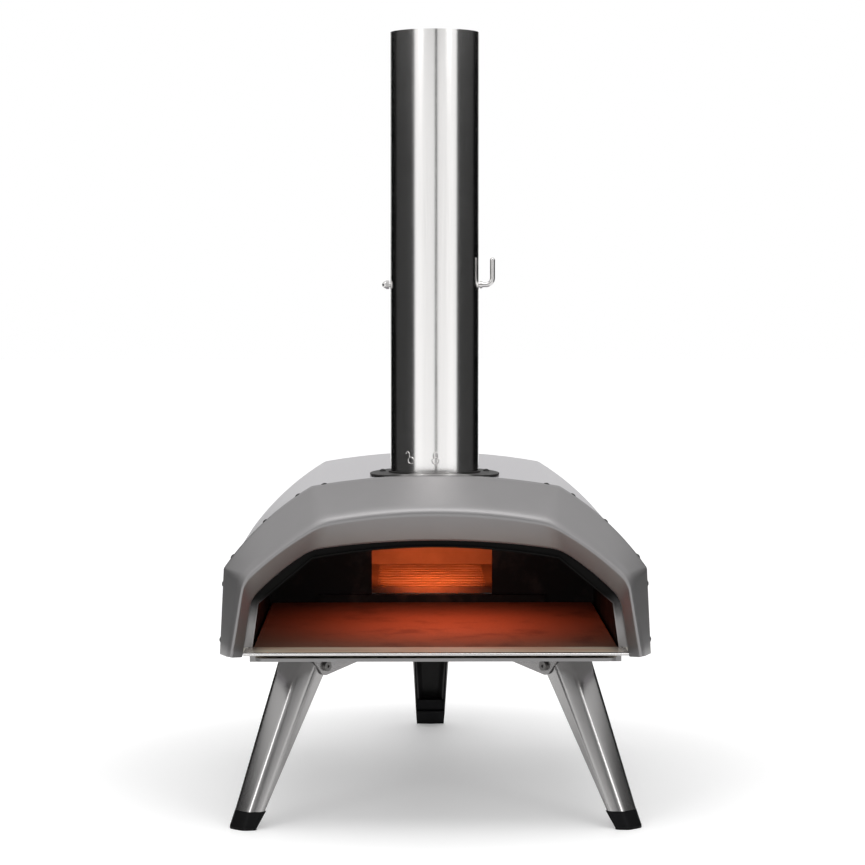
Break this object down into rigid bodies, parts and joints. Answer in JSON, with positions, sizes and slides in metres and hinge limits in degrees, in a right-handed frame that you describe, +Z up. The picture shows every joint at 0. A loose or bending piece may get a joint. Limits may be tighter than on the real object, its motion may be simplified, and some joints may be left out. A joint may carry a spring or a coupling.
{
  "type": "wood fired pizza oven",
  "caption": "Portable wood fired pizza oven: an insulated steel vault over a baking stone, with a twist-on chimney, a damper, a rear firebox with hatch and tray, and folding legs.",
  "frame": {"origin": "on the floor, under the centre of the oven's box", "axes": "+Z up, -Y out of the oven's mouth, +X to the right of someone facing the mouth"},
  "size_m": [0.4, 0.6765, 0.7397],
  "materials": {
    "fascia_steel": "satin bead blasted steel",
    "shell_steel": "satin steel",
    "bright_steel": "polished stainless steel",
    "leg_steel": "brushed stainless steel",
    "sooted_steel": "heat-darkened steel",
    "grate_iron": "burnt iron",
    "stone": "sawn cordierite stone",
    "fibre": "ceramic fibre blanket",
    "black_cap": "moulded black plastic",
    "black_grip": "black heat-proof grip"
  },
  "bodies": {
    "oven": {"front_frame": "fascia_steel", "mouth_lip": "fascia_steel", "outer_shell": "shell_steel", "rear_panel": "shell_steel", "firebox_casing": "shell_steel", "sill_plate": "bright_steel", "base_pan": "bright_steel", "chimney_collar": "bright_steel", "flue_sleeve": "bright_steel", "hatch_hinge_pin": "bright_steel", "inner_liner": "sooted_steel", "chamber_back": "sooted_steel", "flame_guard": "sooted_steel", "grate_rails": "sooted_steel", "fuel_grate": "grate_iron", "baking_stone": "stone", "insulation_blanket": "fibre", "rear_insulation": "fibre", "left_leg_bracket": "leg_steel", "right_leg_bracket": "leg_steel", "rear_leg_bracket": "leg_steel", "leg_pivot_bolts": "leg_steel", "leg_pivot_nuts": "leg_steel"},
    "chimney": {"chimney_tube": "bright_steel"},
    "damper": {"damper_plate": "bright_steel", "damper_rod": "bright_steel", "damper_rivets": "bright_steel", "damper_cap_nut": "bright_steel"},
    "hatch": {"fuel_hatch": "shell_steel", "hatch_handle_posts": "bright_steel", "hatch_handle": "black_grip"},
    "tray": {"fuel_tray": "shell_steel", "fuel_tray_handle": "black_grip"},
    "leg_left": {"left_leg": "leg_steel", "left_foot": "black_cap"},
    "leg_right": {"right_leg": "leg_steel", "right_foot": "black_cap"},
    "leg_rear": {"rear_leg": "leg_steel", "rear_foot": "black_cap"}
  },
  "joints": [
    {"name": "left_leg_fold", "type": "hinge", "parent": "oven", "child": "leg_left", "pos_m": [-0.1223, -0.25325, 0.143], "axis": [0.766, -0.6428, 0], "range_deg": [0, 112]},
    {"name": "right_leg_fold", "type": "hinge", "parent": "oven", "child": "leg_right", "pos_m": [0.1223, -0.25325, 0.143], "axis": [0.766, 0.6428, 0], "range_deg": [0, 112]},
    {"name": "rear_leg_fold", "type": "hinge", "parent": "oven", "child": "leg_rear", "pos_m": [0, 0.15075, 0.143], "axis": [-1, 0, 0], "range_deg": [0, 112]},
    {"name": "chimney_twist", "type": "hinge", "parent": "oven", "child": "chimney", "pos_m": [0, -0.20825, 0.3233], "axis": [0, 0, 1], "range_deg": [0, 36]},
    {"name": "damper_turn", "type": "hinge", "parent": "chimney", "child": "damper", "pos_m": [0, -0.20825, 0.5007], "axis": [1, 0, 0], "range_deg": [0, 90]},
    {"name": "hatch_lift", "type": "hinge", "parent": "oven", "child": "hatch", "pos_m": [0, 0.13875, 0.2953], "axis": [1, 0, 0], "range_deg": [0, 110]},
    {"name": "tray_pull", "type": "slide", "parent": "oven", "child": "tray", "axis": [0, 1, 0], "range_m": [0, 0.17]}
  ]
}
